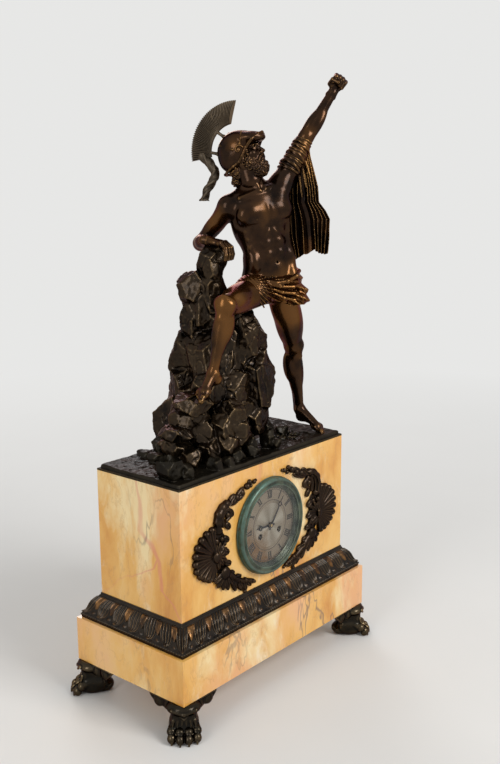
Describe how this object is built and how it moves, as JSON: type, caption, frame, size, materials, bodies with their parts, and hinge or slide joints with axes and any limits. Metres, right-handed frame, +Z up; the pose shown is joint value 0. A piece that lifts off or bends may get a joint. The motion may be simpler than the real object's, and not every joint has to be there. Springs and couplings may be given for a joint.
{
  "type": "figural mantel clock",
  "caption": "Mantel clock in veined marble on paw feet, with a helmeted bronze warrior on rocks above, leaf and shell dial mounts and a working wheel train.",
  "frame": {"origin": "middle of the footprint at the level of the soles of the feet", "axes": "+X along the dial front to the right as seen from the front, +Y from the dial to the back, +Z up"},
  "size_m": [0.4284, 0.2364, 0.8162],
  "materials": {
    "marble": "polished ochre marble with cream, red and grey veins",
    "bronze": "dark brown patinated bronze rubbed golden on the high parts",
    "rock_bronze": "grey-brown patinated casting",
    "bezel_bronze": "brown bronze with a green verdigris bloom",
    "silvered_brass": "silvered, engine turned, with brown tarnish",
    "glass": "clear",
    "dark_steel": "blued",
    "brass": "fine brushed brass",
    "steel": "polished steel",
    "bell_metal": "turned bell metal"
  },
  "bodies": {
    "case": {"back_left_foot": "bronze", "back_moulding": "bronze", "back_plate": "brass", "back_right_foot": "bronze", "back_slab": "marble", "bell": "bell_metal", "bell_stand": "steel", "bottom_slab": "marble", "case_straps": "brass", "cloak": "bronze", "dial": "silvered_brass", "foot_studs": "steel", "front_left_foot": "bronze", "front_moulding": "bronze", "front_plate": "brass", "front_right_foot": "bronze", "front_ring": "brass", "front_slab": "marble", "head": "bronze", "helmet": "bronze", "helmet_crest": "bronze", "left_arm": "bronze", "left_leg": "bronze", "left_moulding": "bronze", "left_mount": "bronze", "left_slab": "marble", "loincloth": "bronze", "plate_pillars": "brass", "plinth": "marble", "rear_ring": "brass", "right_arm": "bronze", "right_leg": "bronze", "right_moulding": "bronze", "right_mount": "bronze", "right_slab": "marble", "rock_outcrop": "rock_bronze", "suspension_cock": "brass", "terrace": "bronze", "top_slab": "marble", "torso": "bronze"},
    "bezel_door": {"bezel": "bezel_bronze", "glass": "glass"},
    "rear_door": {"rear_cover": "brass"},
    "centre": {"centre_wheel": "brass", "minute_hand": "dark_steel"},
    "hour": {"hour_wheel": "brass", "hour_hand": "dark_steel"},
    "motion": {"minute_wheel": "brass"},
    "second": {"second_wheel": "brass"},
    "third": {"third_wheel": "brass"},
    "escape": {"escape_wheel": "brass"},
    "going_drum": {"going_barrel": "brass"},
    "going_key_arbor": {"going_winding_arbor": "steel"},
    "strike_drum": {"strike_barrel": "brass"},
    "strike_key_arbor": {"strike_winding_arbor": "steel"},
    "strike_second": {"strike_second_wheel": "brass", "count_wheel": "brass"},
    "pallets": {"anchor": "steel"},
    "swing": {"pendulum": "brass"},
    "striker": {"hammer": "steel"}
  },
  "joints": [
    {"name": "bezel_hinge", "type": "hinge", "parent": "case", "child": "bezel_door", "pos_m": [0.0701, -0.0761, 0.222], "axis": [0, 0, 1], "range_deg": [0, 85]},
    {"name": "rear_cover_hinge", "type": "hinge", "parent": "case", "child": "rear_door", "pos_m": [0.0636, 0.0761, 0.222], "axis": [0, 0, -1], "range_deg": [0, 110]},
    {"name": "centre_turn", "type": "hinge", "parent": "case", "child": "centre", "pos_m": [0, 0, 0.222], "axis": [0, 1, 0], "continuous": true},
    {"name": "hour_turn", "type": "hinge", "parent": "case", "child": "hour", "pos_m": [0, 0, 0.222], "axis": [0, 1, 0], "continuous": true},
    {"name": "motion_turn", "type": "hinge", "parent": "case", "child": "motion", "pos_m": [0, 0, 0.234], "axis": [0, 1, 0], "continuous": true},
    {"name": "second_turn", "type": "hinge", "parent": "case", "child": "second", "pos_m": [-0.01327, 0, 0.23049], "axis": [0, 1, 0], "continuous": true},
    {"name": "third_turn", "type": "hinge", "parent": "case", "child": "third", "pos_m": [0.00609, 0, 0.23505], "axis": [0, 1, 0], "continuous": true},
    {"name": "escape_turn", "type": "hinge", "parent": "case", "child": "escape", "pos_m": [0, 0, 0.24721], "axis": [0, 1, 0], "continuous": true},
    {"name": "going_drum_turn", "type": "hinge", "parent": "case", "child": "going_drum", "pos_m": [-0.02, 0, 0.2106], "axis": [0, 1, 0], "continuous": true},
    {"name": "going_winding", "type": "hinge", "parent": "case", "child": "going_key_arbor", "pos_m": [-0.02, 0, 0.2106], "axis": [0, 1, 0], "range_deg": [-1620, 0]},
    {"name": "strike_drum_turn", "type": "hinge", "parent": "case", "child": "strike_drum", "pos_m": [0.02, 0, 0.2106], "axis": [0, 1, 0], "continuous": true},
    {"name": "strike_winding", "type": "hinge", "parent": "case", "child": "strike_key_arbor", "pos_m": [0.02, 0, 0.2106], "axis": [0, 1, 0], "range_deg": [0, 1620]},
    {"name": "strike_second_turn", "type": "hinge", "parent": "case", "child": "strike_second", "pos_m": [0.004, 0, 0.197], "axis": [0, 1, 0], "continuous": true},
    {"name": "pendulum_swing", "type": "hinge", "parent": "case", "child": "swing", "pos_m": [0, 0, 0.273], "axis": [0, 1, 0], "range_deg": [-4, 4]},
    {"name": "pallet_rock", "type": "hinge", "parent": "case", "child": "pallets", "pos_m": [0, 0, 0.262], "axis": [0, 1, 0], "range_deg": [-5.6, 5.6]},
    {"name": "hammer_lift", "type": "hinge", "parent": "case", "child": "striker", "pos_m": [0.0385, 0, 0.222], "axis": [0, 1, 0], "range_deg": [0, 12]}
  ],
  "couplings": [
    {"joint": "hour_turn", "follows": "centre_turn", "ratio": 0.083333},
    {"joint": "motion_turn", "follows": "centre_turn", "ratio": -0.33333},
    {"joint": "second_turn", "follows": "centre_turn", "ratio": -0.16667},
    {"joint": "going_drum_turn", "follows": "centre_turn", "ratio": 0.027778},
    {"joint": "third_turn", "follows": "centre_turn", "ratio": -8},
    {"joint": "escape_turn", "follows": "centre_turn", "ratio": 60},
    {"joint": "strike_second_turn", "follows": "strike_drum_turn", "ratio": -6},
    {"joint": "pallet_rock", "follows": "pendulum_swing", "ratio": 1.3099}
  ]
}
